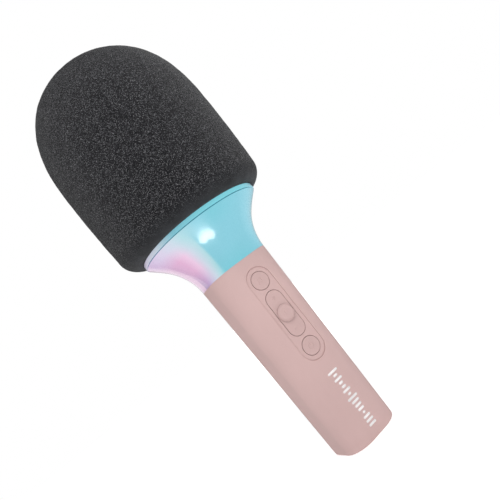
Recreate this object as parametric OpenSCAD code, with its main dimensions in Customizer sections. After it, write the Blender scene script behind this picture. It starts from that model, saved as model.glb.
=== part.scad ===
// Toy karaoke microphone: square-section handle with four keys, flared light collar and a
// pull-off foam windscreen. Millimetres, +Z up along the handle, keys on the -Y side,
// origin at the centre of the base.

/* [Overall size] */
// Height from the base to the top of the windscreen
total_height = 245; // [240:1:250]
// Widest diameter of the foam windscreen
head_width = 92.8; // [91:0.2:95]
// Diameter of the trim ring under the windscreen
ring_width = 71.8; // [71:0.2:72.6]
// Height of the trim ring
ring_height = 2.3; // [2:0.1:2.6]

/* [Handle] */
// Height of the handle sleeve
handle_height = 107.2; // [106:0.2:109]
// Width across the flats where the handle meets the collar
handle_top_width = 37.6; // [37:0.2:38.4]
// Width across the flats at the base
handle_base_width = 32.8; // [32.4:0.2:34]
// Corner radius as a share of half the handle's width
corner_share = 0.72; // [0.68:0.01:0.76]
// Wall thickness of the handle sleeve
wall = 2; // [1.9:0.05:2.05]
// Radius of the handle's bottom edge
base_edge = 1.2; // [0.8:0.1:1.4]

/* [Collar] */
// Height of the flared collar
collar_height = 27.4; // [27:0.1:28]
// Wall thickness of the collar
collar_wall = 1.8; // [1.6:0.1:2]
// Exponent of the collar's flare: larger values open later
flare_power = 1.85; // [1.8:0.01:1.95]

/* [Keys] */
// Height of the middle of the key panel
panel_height = 73.3; // [72.6:0.1:74]
// Width of the sunk key panel
panel_width = 14.2; // [13.8:0.1:14.6]
// Length of the sunk key panel
panel_length = 55.2; // [54.6:0.1:55.8]
// Depth of the sunk key panel
panel_depth = 0.45; // [0.3:0.05:0.5]
// Diameter of the round keys and width of the rocker
key_width = 9.5; // [9.3:0.1:9.6]
// Distance from the panel's middle to each round key
key_pitch = 20.1; // [19.9:0.1:20.3]
// Length of the volume rocker
rocker_length = 26.2; // [25.8:0.1:26.6]
// Gap around each key
key_gap = 0.22; // [0.18:0.01:0.25]
// Diameter of the play button's raised disc
play_width = 8.9; // [8.5:0.1:9.1]

/* [Head] */
// Outside diameter of the grille cage under the foam
cage_width = 70.6; // [70.2:0.1:70.8]
// Wall thickness of the grille cage
cage_wall = 1.6; // [1.4:0.1:1.8]
// Height at which the domes start
dome_base = 190; // [189:1:191]
// Exponent of the dome's outline: 2 is an ellipse, larger is squarer
dome_power = 2.45; // [2.3:0.05:2.6]
// Number of grille slots around the cage
slot_count = 18; // [12:6:24]

/* [Hidden] */

$fn = 64;
hull_facets = 48;
slice = 0.02;
reach = 60;

ring_low = handle_height + collar_height;
ring_top = ring_low + ring_height;
ring_radius = ring_width / 2;
taper = atan((handle_top_width - handle_base_width) / 2 / handle_height);

// Depths below the handle's front face, measured square to it
flange_depth = wall + 0.1;
hinge_depth = 3.4;
frame_depth = 4.3;
switch_depth = 5.3;
board_depth = 8;
board_back = 9.2;
board_low = -29.5;
board_high = 27.5;
board_half_width = 12.5;
volume_pitch = 9.2;
stem_radius = 1.5;
plunger_radius = 1.6;
plunger_reach = 6.1;
plunger_bore = 1.85;
switch_size = 6.2;
play_stem_radius = 1.8;
trunnion_radius = 0.6;
trunnion_end = 7.2;
key_spots = [key_pitch, volume_pitch, 0, -volume_pitch, -key_pitch];
board_screw_spots = [[11, 25.2], [-11, 25.2], [11, -27.3], [-11, -27.3]];
peg_spots = [[6.3, 22.4], [-6.3, 22.4], [6.3, -23.6], [-6.3, -23.6]];

// Heights and radii inside the handle
cap_thickness = 2.4;
floor_low = 3.2;
floor_high = 8.2;
charge_board_top = 9.2;
battery_low = 13;
battery_length = 65;
battery_radius = 9.2;
battery_y = 2;
middle_low = 44;
middle_high = 48;
deck_low = 97.2;
deck_high = 101.4;
lip_high = 103.4;
neck_high = 107.4;
led_board_high = 108.4;
spine_front = 11.6;
spine_back = 13.2;
socket_y = 6;
light_y = -8;
base_screw_x = 10.2;
neck_screw_radius = 9.9;
neck_screw_turn = 90;
led_radius = 13.4;
led_count = 8;
cell_top = battery_low + battery_length;

// Heights and radii in the head
plate_high = ring_top + 2.5;
gasket_low = ring_top - 0.8;
frame_low = gasket_low - 1.2;
frame_radius = 28.9;
basket_low = ring_top - 11.9;
surround_radius = 24.8;
cone_radius = 22.5;
lug_radius = 31.2;
post_radius = 29.2;
hub_low = 205;
cage_height = total_height - dome_base - 13;
foam_bore = cage_width / 2 + 0.5;
foam_low = ring_top + 0.2;
foam_foot = head_width / 2 - 1.5;

// ---------------------------------------------------------------- helpers

// Half the handle's width across its flats at height z
function half_at(z) = (handle_base_width + (handle_top_width - handle_base_width) * z / handle_height) / 2;

// Radius of the collar's flare at height z
function flare_at(z) = let (rise = max(0, (z - handle_height) / collar_height))
    handle_top_width / 2 + (ring_radius - handle_top_width / 2) * pow(rise, flare_power);

// Points of a rounded square of half width half, whose corners take the given share of it
function square_ring(half, share, z, corner_steps = 10) = [
    for (corner = [0:3], step = [0:corner_steps - 1])
        let (
            angle = corner * 90 + step * 90 / (corner_steps - 1),
            middle = corner * 90 + 45,
            radius = half * share
        )
        [
            sign(cos(middle)) * (half - radius) + radius * cos(angle),
            sign(sin(middle)) * (half - radius) + radius * sin(angle),
            z
        ]
];

// Outline of a dome as radius and height, from its foot to the axis
function dome_outline(radius, height, steps) = [
    for (step = [0:steps])
        let (angle = 90 * step / steps)
        [radius * pow(cos(angle), 2 / dome_power), dome_base + height * pow(sin(angle), 2 / dome_power)]
];

// Joins rings of equal point counts into one closed loop of skin
module ring_skin(rings) {
    count = len(rings[0]);
    turns = len(rings);
    points = [for (ring = rings) for (point = ring) point];
    faces = [
        for (turn = [0:turns - 1], spot = [0:count - 1])
            let (next_turn = (turn + 1) % turns, next_spot = (spot + 1) % count)
            each [
                [turn * count + spot, next_turn * count + spot, next_turn * count + next_spot],
                [turn * count + spot, next_turn * count + next_spot, turn * count + next_spot]
            ]
    ];
    polyhedron(points, faces);
}

// Round wire swept along a route
module wire(route, radius = 0.5, sides = 8) {
    last = len(route) - 1;
    rings = [
        for (index = [0:last])
            let (
                before = route[max(index - 1, 0)],
                after = route[min(index + 1, last)],
                incoming = unit(route[index] - before, after - route[index]),
                outgoing = unit(after - route[index], route[index] - before),
                ahead = unit(incoming + outgoing, incoming),
                side = unit(cross(ahead, [0.31, 0.95, 0.07]), [1, 0, 0]),
                over = cross(ahead, side),
                stretch = 1 / max(0.5, ahead * incoming)
            )
            [
                for (turn = [0:sides - 1])
                    let (angle = 360 * turn / sides)
                    route[index] + radius * sqrt(stretch) * (side * cos(angle) + over * sin(angle))
            ]
    ];
    points = [for (ring = rings) for (point = ring) point];
    walls = [
        for (index = [0:last - 1], turn = [0:sides - 1])
            let (next = (turn + 1) % sides, low = index * sides, high = low + sides)
            each [[low + turn, high + turn, high + next], [low + turn, high + next, low + next]]
    ];
    start = [[for (turn = [0:sides - 1]) turn]];
    end = [[for (turn = [sides - 1:-1:0]) last * sides + turn]];
    polyhedron(points, concat(walls, start, end));
}

function unit(v, fallback) = norm(v) > 0 ? v / norm(v) : fallback / norm(fallback);

// A route given as radius and height, laid in the upright plane at an angle round the axis
function radial_route(angle, outline) = [
    for (spot = outline) [spot[0] * cos(angle), spot[0] * sin(angle), spot[1]]
];

// Thin discs at the four corners of a rounded square, for a hull
module corner_discs(half, inset, z) {
    radius = half * corner_share;
    for (x = [-1, 1], y = [-1, 1])
        translate([x * (half - radius), y * (half - radius), z])
            cylinder(r = radius - inset, h = slice, $fn = hull_facets);
}

// Tapered block that follows the handle's section, drawn in by inset
module handle_block(inset, low, high) {
    hull() {
        corner_discs(half_at(low), inset, low);
        corner_discs(half_at(high), inset, high - slice);
    }
}

// Children are placed on the front face: X across, Y up along the face, Z outwards
module on_front() {
    translate([0, -half_at(panel_height), panel_height])
        rotate([90 + taper, 0, 0])
            children();
}

// Round-ended slab between two depths below the front face
module slab(width, length, top, bottom) {
    translate([0, 0, -bottom])
        hull()
            for (side = [-1, 1])
                translate([0, side * (length - width) / 2, 0])
                    cylinder(d = width, h = bottom - top, $fn = hull_facets);
}

// Disc or ring between two depths below the front face
module key_disc(radius, top, bottom, y = 0) {
    translate([0, y, -bottom])
        cylinder(r = radius, h = bottom - top);
}

// Revolved body from an outline of radius and height
module turned(outline) {
    rotate_extrude()
        polygon(outline);
}

// Pan-head screw with its head at the origin and its shank along +Z
module screw(head_radius, head_height, shank_radius, length) {
    translate([0, 0, -head_height])
        difference() {
            cylinder(r = head_radius, h = head_height);
            translate([-head_radius * 0.6, -0.2, -0.1])
                cube([head_radius * 1.2, 0.4, head_height * 0.5]);
            translate([-0.2, -head_radius * 0.6, -0.1])
                cube([0.4, head_radius * 1.2, head_height * 0.5]);
        }
    cylinder(r = shank_radius, h = length);
}

// ---------------------------------------------------------------- handle

module handle_sleeve() {
    color([0.81, 0.68, 0.66])
    difference() {
        hull() {
            for (angle = [0:30:90])
                corner_discs(
                    half_at(0),
                    base_edge * (1 - sin(angle)),
                    base_edge * (1 - cos(angle))
                );
            corner_discs(half_at(handle_height), 0, handle_height - slice);
        }
        handle_block(wall, -1, handle_height + 1);
        on_front() {
            slab(panel_width, panel_length, -reach, panel_depth);
            slab(key_width + 2 * key_gap, rocker_length + 2 * key_gap, -1, wall + 1);
            for (side = [-1, 1])
                key_disc(key_width / 2 + key_gap, -1, wall + 1, side * key_pitch);
        }
    }
}

module base_cap() {
    color([0.76, 0.64, 0.62])
    difference() {
        handle_block(wall + 0.08, 0, cap_thickness);
        for (side = [-1, 1])
            translate([side * base_screw_x, 0, 0]) {
                translate([0, 0, -1])
                    cylinder(r = 1.2, h = cap_thickness + 2);
                translate([0, 0, -1])
                    cylinder(r = 2.3, h = 2.2);
            }
        translate([0, light_y, -1])
            cylinder(r = 1.25, h = cap_thickness + 2);
        translate([0, socket_y, -1])
            socket_slot(9.3, 3.6, cap_thickness + 2);
    }
}

// Round-ended slot that runs along X
module socket_slot(width, height, depth) {
    hull()
        for (side = [-1, 1])
            translate([side * (width - height) / 2, 0, 0])
                cylinder(d = height, h = depth, $fn = 32);
}

module base_screws() {
    color([0.62, 0.63, 0.65])
    for (side = [-1, 1])
        translate([side * base_screw_x, 0, 1.2])
            screw(2.1, 1, 1, 6.6);
}

module chassis() {
    color([0.25, 0.26, 0.28])
    difference() {
        union() {
            handle_block(wall + 0.3, floor_low, floor_high);
            handle_block(wall + 0.3, middle_low, middle_high);
            handle_block(wall + 0.3, deck_low, deck_high);
            translate([-7, spine_front, floor_low])
                cube([14, spine_back - spine_front, deck_high - floor_low]);
            translate([0, 0, cell_top - 4])
                intersection() {
                    translate([0, battery_y, 0])
                        cylinder(r = battery_radius + 1.8, h = 3);
                    translate([-reach, battery_y + 2, -1])
                        cube([2 * reach, spine_back - battery_y - 3, 5]);
                }
        }
        translate([0, battery_y, charge_board_top])
            cylinder(r = battery_radius + 0.15, h = cell_top + 2 - charge_board_top);
        // Room for the main board and everything in front of it
        on_front()
            translate([-reach, -reach, -board_back])
                cube([2 * reach, 2 * reach, reach]);
        // Wire opening in the deck
        translate([-6, -6.5, deck_low - 1])
            cube([12, 12, deck_high - deck_low + 2]);
        // Screw bores, socket pocket and light pipe bore
        for (side = [-1, 1])
            translate([side * base_screw_x, 0, floor_low - 1])
                cylinder(r = 1.05, h = 6.2);
        for (turn = [0:2])
            rotate([0, 0, neck_screw_turn + turn * 120])
                translate([neck_screw_radius, 0, deck_low - 1])
                    cylinder(r = 0.95, h = deck_high - deck_low + 2);
        on_front()
            for (spot = board_screw_spots)
                translate([spot[0], spot[1], -board_back - 6.5])
                    cylinder(r = 0.8, h = 7);
        translate([0, socket_y, floor_low - 1])
            socket_slot(10, 4.4, 7);
        translate([0, light_y, floor_low - 1])
            cylinder(r = 1.3, h = 7);
    }
}

module neck_ring() {
    color([0.93, 0.93, 0.93])
    difference() {
        turned([[8.4, deck_high], [11.8, deck_high], [11.8, lip_high], [14.4, lip_high],
                [14.4, neck_high], [8.4, neck_high]]);
        for (turn = [0:2])
            rotate([0, 0, neck_screw_turn + turn * 120])
                translate([neck_screw_radius, 0, deck_high - 1])
                    cylinder(r = 0.95, h = 4.8);
    }
}

module neck_screws() {
    color([0.62, 0.63, 0.65])
    for (turn = [0:2])
        rotate([0, 0, neck_screw_turn + turn * 120])
            translate([neck_screw_radius, 0, deck_low])
                screw(1.6, 1, 0.9, 7.6);
}

// ---------------------------------------------------------------- keys

module key_frame() {
    color([0.3, 0.31, 0.33])
    on_front()
    difference() {
        union() {
            slab(15.4, 54, frame_depth, frame_depth + 0.8);
            for (side = [-1, 1])
                translate([side * 6.3 - 1, -1.6, -frame_depth])
                    cube([2, 3.2, frame_depth - 2.5]);
            for (spot = peg_spots) {
                translate([spot[0], spot[1], -board_depth])
                    cylinder(r = 1.2, h = board_depth - frame_depth - 0.4);
                translate([spot[0], spot[1], -board_back - 0.3])
                    cylinder(r = 0.7, h = 3);
            }
        }
        for (spot = key_spots)
            key_disc(plunger_radius + 0.5, frame_depth - 1, frame_depth + 2, spot);
        translate([-9, 0, -hinge_depth])
            rotate([0, 90, 0])
                cylinder(r = trunnion_radius + 0.08, h = 18);
    }
}

// Round key with a flange that keeps it behind the wall and a stem behind it
module round_key(y) {
    on_front()
        translate([0, y, 0]) {
            translate([0, 0, -flange_depth])
                turned([[0, -0.1], [key_width / 2, -0.1], [key_width / 2, flange_depth - 0.45],
                        [key_width / 2 - 0.12, flange_depth - 0.15],
                        [key_width / 2 - 0.45, flange_depth], [0, flange_depth + 0.08]]);
            key_disc(key_width / 2 + 0.8, flange_depth, flange_depth + 0.8);
            key_disc(stem_radius, flange_depth + 0.7, frame_depth);
        }
}

// Plunger of a push switch, behind the key at y
module plunger(y) {
    on_front()
        key_disc(plunger_radius, frame_depth, plunger_reach, y);
}

module mode_button() {
    color([0.8, 0.67, 0.65])
    round_key(key_pitch);
}

module mode_plunger() {
    color([0.15, 0.15, 0.16])
    plunger(key_pitch);
}

module power_button() {
    color([0.8, 0.67, 0.65])
    round_key(-key_pitch);
}

module power_plunger() {
    color([0.15, 0.15, 0.16])
    plunger(-key_pitch);
}

module volume_rocker() {
    color([0.8, 0.67, 0.65])
    on_front()
    difference() {
        union() {
            slab(key_width - 0.5, rocker_length - 0.5, 0, 0.5);
            slab(key_width, rocker_length, 0.25, 2.6);
            translate([-key_width / 2, -3.2, -3.95])
                cube([key_width, 6.4, 2]);
            translate([-trunnion_end, 0, -hinge_depth])
                rotate([0, 90, 0])
                    cylinder(r = trunnion_radius, h = 2 * trunnion_end);
            for (side = [-1, 1])
                key_disc(stem_radius, 2, frame_depth, side * volume_pitch);
        }
        key_disc(play_stem_radius + 0.4, -1, 5);
    }
}

module volume_plungers() {
    color([0.15, 0.15, 0.16])
    for (side = [-1, 1])
        plunger(side * volume_pitch);
}

module play_button() {
    color([0.8, 0.67, 0.65])
    on_front() {
        translate([0, 0, 0.5])
            turned([[0, 0], [play_width / 2 - 0.25, 0], [play_width / 2, 0.25],
                    [play_width / 2 - 0.1, 0.5], [play_width / 2 - 0.5, 0.74], [0, 0.86]]);
        key_disc(play_stem_radius, -0.6, frame_depth);
    }
}

module play_plunger() {
    color([0.15, 0.15, 0.16])
    plunger(0);
}

module switch_bodies() {
    color([0.7, 0.71, 0.73])
    on_front()
    for (spot = key_spots)
        difference() {
            translate([-switch_size / 2, spot - switch_size / 2, -board_depth])
                cube([switch_size, switch_size, board_depth - switch_depth]);
            key_disc(plunger_bore, switch_depth - 1, plunger_reach + 0.9, spot);
        }
}

// ---------------------------------------------------------------- electronics

module main_board() {
    color([0.06, 0.36, 0.24])
    on_front()
    difference() {
        translate([-board_half_width, board_low, -board_back])
            cube([2 * board_half_width, board_high - board_low, board_back - board_depth]);
        for (spot = board_screw_spots)
            translate([spot[0], spot[1], -board_back - 1])
                cylinder(r = 0.9, h = 3);
        for (spot = peg_spots)
            translate([spot[0], spot[1], -board_back - 1])
                cylinder(r = 0.72, h = 3);
    }
}

module board_screws() {
    color([0.62, 0.63, 0.65])
    on_front()
    for (spot = board_screw_spots)
        translate([spot[0], spot[1], -board_depth])
            rotate([180, 0, 0])
                screw(1.5, 0.9, 0.75, 6);
}

// Block soldered to the back of the main board
module back_part(x, y, width, length, thickness) {
    on_front()
        translate([x - width / 2, y - length / 2, -board_back - thickness])
            cube([width, length, thickness]);
}

module radio_module() {
    color([0.75, 0.76, 0.78])
    back_part(-5, 13.8, 12, 11, 1.8);
}

module amplifier_chip() {
    color([0.1, 0.1, 0.11])
    back_part(5.4, 16.6, 5, 5, 1.2);
}

module capacitors() {
    color([0.2, 0.22, 0.3])
    on_front()
    for (spot = [[4, 10.4], [9, 10.4], [10, 15.6]])
        translate([spot[0], spot[1], -board_back - 4.2])
            cylinder(r = 2, h = 4.2);
}

module battery_cell() {
    color([0.16, 0.42, 0.72])
    translate([0, battery_y, 0])
        turned([[0, battery_low], [battery_radius - 0.6, battery_low],
                [battery_radius, battery_low + 0.6], [battery_radius, cell_top - 1.4],
                [battery_radius - 0.8, cell_top - 0.6], [3, cell_top - 0.6], [3, cell_top],
                [0, cell_top]]);
}

module battery_pad() {
    color([0.12, 0.12, 0.12])
    translate([0, battery_y, charge_board_top])
        cylinder(r = 7.5, h = battery_low - charge_board_top);
}

module battery_leads() {
    color([0.75, 0.1, 0.1])
    for (side = [-1, 1])
        wire([[side * 1.5, battery_y, cell_top], [side * 1.5, battery_y, 79.6],
              [side * 2.4, -1, 81.4], [side * 2.4, -5.6, 81], [side * 2.4, -9, 80.4]], 0.45);
}

module charge_board() {
    color([0.06, 0.36, 0.24])
    difference() {
        translate([0, 0, floor_high])
            cylinder(r = 11, h = charge_board_top - floor_high);
        translate([-12, -12, floor_high - 1])
            cube([24, 2.4, 3]);
    }
}

module charge_socket() {
    color([0.78, 0.79, 0.8])
    translate([0, socket_y, 0]) {
        difference() {
            translate([0, 0, 0.4])
                socket_slot(8.94, 3.26, floor_high - 0.4);
            translate([0, 0, 0.2])
                socket_slot(8.34, 2.66, floor_high - 1.4);
        }
        translate([-3.3, -0.35, 1.6])
            cube([6.6, 0.7, floor_high - 2]);
    }
}

module charge_light() {
    color([0.95, 0.95, 0.95])
    translate([0, light_y, 0.1])
        cylinder(r = 1.15, h = floor_high - 0.1);
}

// ---------------------------------------------------------------- collar

module light_collar() {
    rise_steps = 16;
    heights = [for (step = [0:rise_steps]) handle_height + collar_height * step / rise_steps];
    function share_at(z) = let (s = min(1, (z - handle_height) / collar_height / 0.7))
        corner_share + (1 - corner_share) * s * s * (3 - 2 * s);
    function shell_ring(z, inset) = square_ring(flare_at(z) - inset, share_at(z), z);
    plug = wall + 0.12;
    color([0.62, 0.86, 0.9])
    ring_skin(concat(
        [for (z = heights) shell_ring(z, 0)],
        [for (step = [rise_steps:-2:0]) shell_ring(heights[step], collar_wall)],
        [
            square_ring(half_at(lip_high) - plug - 1.8, corner_share, lip_high),
            square_ring(12.2, 0.999, lip_high - 0.4),
            square_ring(12.2, 0.999, deck_high + 0.05),
            square_ring(half_at(deck_high) - plug, corner_share, deck_high + 0.05),
            square_ring(half_at(handle_height) - plug, corner_share, handle_height)
        ]
    ));
}

module collar_ring() {
    color([0.6, 0.84, 0.88])
    difference() {
        union() {
            turned([[33, ring_low], [ring_radius - 0.5, ring_low], [ring_radius, ring_low + 0.4],
                    [ring_radius, ring_top], [33, ring_top]]);
            for (turn = [0:2])
                rotate([0, 0, 30 + turn * 120])
                    difference() {
                        translate([lug_radius, 0, ring_low])
                            cylinder(r = 1.85, h = ring_height);
                        translate([33.4, -3, ring_low - 1])
                            cube([5, 6, ring_height + 2]);
                    }
        }
        for (turn = [0:2])
            rotate([0, 0, 30 + turn * 120])
                translate([lug_radius, 0, ring_low - 1])
                    cylinder(r = 0.85, h = ring_height + 2);
    }
}

module led_board() {
    color([0.92, 0.93, 0.92])
    turned([[9, neck_high], [16, neck_high], [16, led_board_high], [9, led_board_high]]);
}

module leds() {
    color([0.95, 0.93, 0.75])
    for (turn = [0:led_count - 1])
        rotate([0, 0, (turn + 0.5) * 360 / led_count])
            translate([led_radius - 1.4, -1.4, led_board_high])
                cube([2.8, 2.8, 1.1]);
}

module led_leads() {
    color([0.2, 0.5, 0.25])
    for (side = [-1, 1])
        wire([[side * 9.5, 0, led_board_high], [side * 9.4, 0, led_board_high + 0.8],
              [side * 7.2, -1.4, led_board_high + 0.6], [side * 4.5, -3, 105],
              [side * 3.2, -4, 99], [side * 3, -6, 95.6], [side * 3, -9, 94.8]], 0.4);
}

module reflector_cone() {
    gap = collar_wall + 5.5;
    steps = 12;
    low = led_board_high;
    high = ring_low - 3.6;
    function z_at(step) = low + (high - low) * step / steps;
    color([0.95, 0.95, 0.95])
    turned(concat(
        [for (step = [0:steps]) [flare_at(z_at(step)) - gap, z_at(step)]],
        [for (step = [steps:-1:0]) [flare_at(z_at(step)) - gap - 1.2, z_at(step)]]
    ));
}

// ---------------------------------------------------------------- speaker

module baffle_plate() {
    color([0.2, 0.2, 0.22])
    difference() {
        turned([[27.3, ring_top], [cage_width / 2 - cage_wall - 0.05, ring_top],
                [cage_width / 2 - cage_wall - 0.05, plate_high], [27.3, plate_high]]);
        for (turn = [0:2])
            rotate([0, 0, 30 + turn * 120])
                translate([lug_radius, 0, ring_top - 1])
                    cylinder(r = 0.95, h = 5);
        rotate([0, 0, 120])
            translate([30.9, 0, ring_top - 1])
                cylinder(r = 1.1, h = 5);
    }
}

module baffle_screws() {
    color([0.62, 0.63, 0.65])
    for (turn = [0:2])
        rotate([0, 0, 30 + turn * 120])
            translate([lug_radius, 0, plate_high])
                rotate([180, 0, 0])
                    screw(1.6, 1, 0.8, 4.6);
}

module speaker_frame() {
    color([0.35, 0.36, 0.38])
    difference() {
        turned([[24, gasket_low], [frame_radius, gasket_low], [frame_radius, frame_low],
                [25, frame_low], [14.5, basket_low], [11.1, basket_low], [11.1, basket_low + 1],
                [14, basket_low + 1], [24, frame_low + 0.4]]);
        for (turn = [0:3])
            rotate([0, 0, 45 + turn * 90])
                translate([14, -5, basket_low + 2.6])
                    cube([12, 10, 4.4]);
    }
}

module speaker_gasket() {
    color([0.12, 0.12, 0.12])
    turned([[28.6, gasket_low], [frame_radius, gasket_low], [frame_radius, ring_top], [28.6, ring_top]]);
}

module speaker_surround() {
    lip = 0.4;
    color([0.1, 0.1, 0.1])
    turned(concat(
        [[cone_radius + 0.4, gasket_low], [surround_radius - 1.4, gasket_low]],
        [for (angle = [180:-22.5:0]) [surround_radius + 1.4 * cos(angle), gasket_low + lip + 1.1 * sin(angle)]],
        [[surround_radius + 1.4, gasket_low], [28.5, gasket_low], [28.5, gasket_low + lip]],
        [for (angle = [0:22.5:180]) [surround_radius + 1.8 * cos(angle), gasket_low + lip + 1.5 * sin(angle)]],
        [[cone_radius + 0.4, gasket_low + lip]]
    ));
}

module speaker_cone() {
    color([0.16, 0.16, 0.17])
    turned([[8.03, basket_low + 2.2], [cone_radius - 0.6, gasket_low - 0.2], [cone_radius, gasket_low - 0.2],
            [cone_radius, gasket_low + 0.4], [cone_radius - 0.8, gasket_low + 0.4],
            [8.03, basket_low + 2.9]]);
}

module voice_coil() {
    color([0.72, 0.45, 0.2])
    turned([[7.6, basket_low - 4], [8, basket_low - 4], [8, basket_low + 2.9], [7.6, basket_low + 2.9]]);
}

module dust_cap() {
    steps = 6;
    rise = basket_low + 2.9;
    color([0.14, 0.14, 0.15])
    turned(concat(
        [for (step = [0:steps]) [7.55 * cos(90 * step / steps), rise + 2.8 * sin(90 * step / steps)]],
        [for (step = [steps:-1:0]) [7.15 * cos(90 * step / steps), rise + 2.3 * sin(90 * step / steps)]]
    ));
}

module speaker_magnet() {
    color([0.5, 0.51, 0.53])
    difference() {
        translate([0, 0, basket_low - 8])
            cylinder(r = 11, h = 8.6);
        turned([[7.2, basket_low - 5.4], [8.4, basket_low - 5.4], [8.4, basket_low + 2],
                [7.2, basket_low + 2]]);
    }
}

module speaker_leads() {
    color([0.75, 0.1, 0.1])
    for (side = [-1, 1])
        wire(concat(
            radial_route(270 + side * 9, [[16.6, basket_low + 0.9], [15.2, basket_low - 1.6],
                                          [12.9, basket_low - 7], [10.4, basket_low - 11.6]]),
            [[side * 1.4, -4.6, 108], [side * 1, -4.4, 99], [side * 1, -6, 94.6], [side * 1, -9, 93.6]]
        ), 0.4);
}

// ---------------------------------------------------------------- head

module head_cage() {
    outer = cage_width / 2;
    inner = outer - cage_wall;
    steps = 14;
    color([0.6, 0.61, 0.63])
    difference() {
        turned(concat(
            [[inner, ring_top], [outer, ring_top]],
            dome_outline(outer, cage_height, steps),
            [for (step = [steps:-1:0]) dome_outline(inner, cage_height - cage_wall, steps)[step]]
        ));
        for (turn = [0:slot_count - 1])
            rotate([0, 0, turn * 360 / slot_count]) {
                for (tier = [0:2])
                    translate([outer - 8, -2.6, 145 + tier * 18])
                        cube([16, 5.2, 14.4]);
                translate([outer - 14, -2, 199])
                    cube([20, 4, 14]);
            }
        for (row = [[22, 12], [13.5, 8], [5, 4]], turn = [0:11])
            if (turn < row[1])
                rotate([0, 0, turn * 360 / row[1]])
                    translate([row[0], 0, dome_base + 25])
                        cylinder(r = 2.3, h = 40);
    }
}

module mic_bridge() {
    color([0.22, 0.22, 0.24])
    difference() {
        union() {
            for (turn = [0:2])
                rotate([0, 0, 90 + turn * 120]) {
                    translate([post_radius, 0, plate_high])
                        cylinder(r = 1.4, h = hub_low + 3 - plate_high);
                    translate([8, -1.2, hub_low])
                        cube([post_radius - 8, 2.4, 3]);
                }
            translate([0, 0, hub_low])
                cylinder(r = 12, h = 4);
        }
        translate([0, 0, hub_low - 1])
            cylinder(r = 10.05, h = 6);
    }
}

module mic_isolator() {
    color([0.1, 0.1, 0.1])
    turned([[2, hub_low], [10, hub_low], [10, hub_low + 4], [11.6, hub_low + 4], [11.6, hub_low + 6],
            [10, hub_low + 6], [10, hub_low + 11], [7.5, hub_low + 11], [7.5, hub_low + 1.8],
            [2, hub_low + 1.8]]);
}

module mic_capsule() {
    color([0.8, 0.8, 0.78])
    difference() {
        turned([[0, hub_low + 1.8], [7.5, hub_low + 1.8], [7.5, hub_low + 12.4], [6.9, hub_low + 13],
                [0, hub_low + 13]]);
        for (turn = [0:5])
            rotate([0, 0, turn * 60])
                translate([4, 0, hub_low + 12])
                    cylinder(r = 0.7, h = 2);
    }
}

module mic_leads() {
    color([0.2, 0.3, 0.7])
    wire(concat(
        [[0, 0, hub_low + 1.8], [0, 0, hub_low - 1]],
        radial_route(120, [[3, hub_low - 3.5], [26, hub_low - 4.5], [30.9, hub_low - 9],
                           [30.9, ring_top - 1.2], [29.6, ring_low - 0.8],
                           [27.2, ring_low - 1.6], [23.2, ring_low - 3],
                           [16.4, basket_low], [12.9, basket_low - 7],
                           [9, basket_low - 12]]),
        [[-5, 1, 108], [-5, -1, 99], [-5, -6, 95.2], [-5, -9, 94.4]]
    ), 0.45);
}

module foam_windscreen() {
    foot_radius = foam_foot - foam_bore;
    foot_steps = 8;
    side_steps = 5;
    steps = 22;
    foot_top = foam_low + foot_radius;
    foot = [
        for (step = [0:foot_steps])
            let (angle = 90 * step / foot_steps)
            [foam_bore + foot_radius * sin(angle), foam_low + foot_radius * (1 - cos(angle))]
    ];
    side = [
        for (step = [1:side_steps - 1])
            let (rise = step / side_steps)
            [
                foam_foot + (head_width / 2 - foam_foot) * rise * (2 - rise),
                foot_top + (dome_base - foot_top) * rise
            ]
    ];
    outer = dome_outline(head_width / 2, total_height - dome_base, steps);
    bore = dome_outline(foam_bore, cage_height + 0.6, 12);
    color([0.2, 0.21, 0.22])
    turned(concat(foot, side, outer, [for (step = [12:-1:0]) bore[step]]));
}

handle_sleeve();
base_cap();
base_screws();
chassis();
neck_ring();
neck_screws();
key_frame();
mode_button();
mode_plunger();
volume_rocker();
volume_plungers();
play_button();
play_plunger();
power_button();
power_plunger();
switch_bodies();
main_board();
board_screws();
radio_module();
amplifier_chip();
capacitors();
battery_cell();
battery_pad();
battery_leads();
charge_board();
charge_socket();
charge_light();
light_collar();
collar_ring();
led_board();
leds();
led_leads();
reflector_cone();
baffle_plate();
baffle_screws();
speaker_frame();
speaker_gasket();
speaker_surround();
speaker_cone();
voice_coil();
dust_cap();
speaker_magnet();
speaker_leads();
head_cage();
mic_bridge();
mic_isolator();
mic_capsule();
mic_leads();
foam_windscreen();
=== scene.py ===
import math

import bmesh
import bpy
import numpy as np
from mathutils import Matrix, Vector, noise
from mathutils.geometry import tessellate_polygon


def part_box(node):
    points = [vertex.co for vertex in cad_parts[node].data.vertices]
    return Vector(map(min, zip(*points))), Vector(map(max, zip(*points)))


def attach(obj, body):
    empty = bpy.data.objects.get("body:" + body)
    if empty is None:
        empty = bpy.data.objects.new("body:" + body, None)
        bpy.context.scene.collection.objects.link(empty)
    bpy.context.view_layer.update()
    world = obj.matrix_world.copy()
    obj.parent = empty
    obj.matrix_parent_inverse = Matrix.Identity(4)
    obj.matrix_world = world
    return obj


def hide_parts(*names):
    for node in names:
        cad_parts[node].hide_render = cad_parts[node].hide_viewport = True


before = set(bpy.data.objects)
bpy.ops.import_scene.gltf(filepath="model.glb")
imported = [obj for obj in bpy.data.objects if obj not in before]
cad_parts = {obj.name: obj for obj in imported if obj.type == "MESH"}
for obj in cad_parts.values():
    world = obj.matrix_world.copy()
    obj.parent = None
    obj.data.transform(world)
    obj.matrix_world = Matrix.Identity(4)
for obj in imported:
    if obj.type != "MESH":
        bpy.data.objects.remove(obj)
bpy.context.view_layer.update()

# Lengths below are in millimetres unless a comment says otherwise. Skin.piece(), Paint and the
# studio turn them into metres. The frame is the CAD's: +Z up the handle, keys on the -Y side.
MM = 0.001


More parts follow.
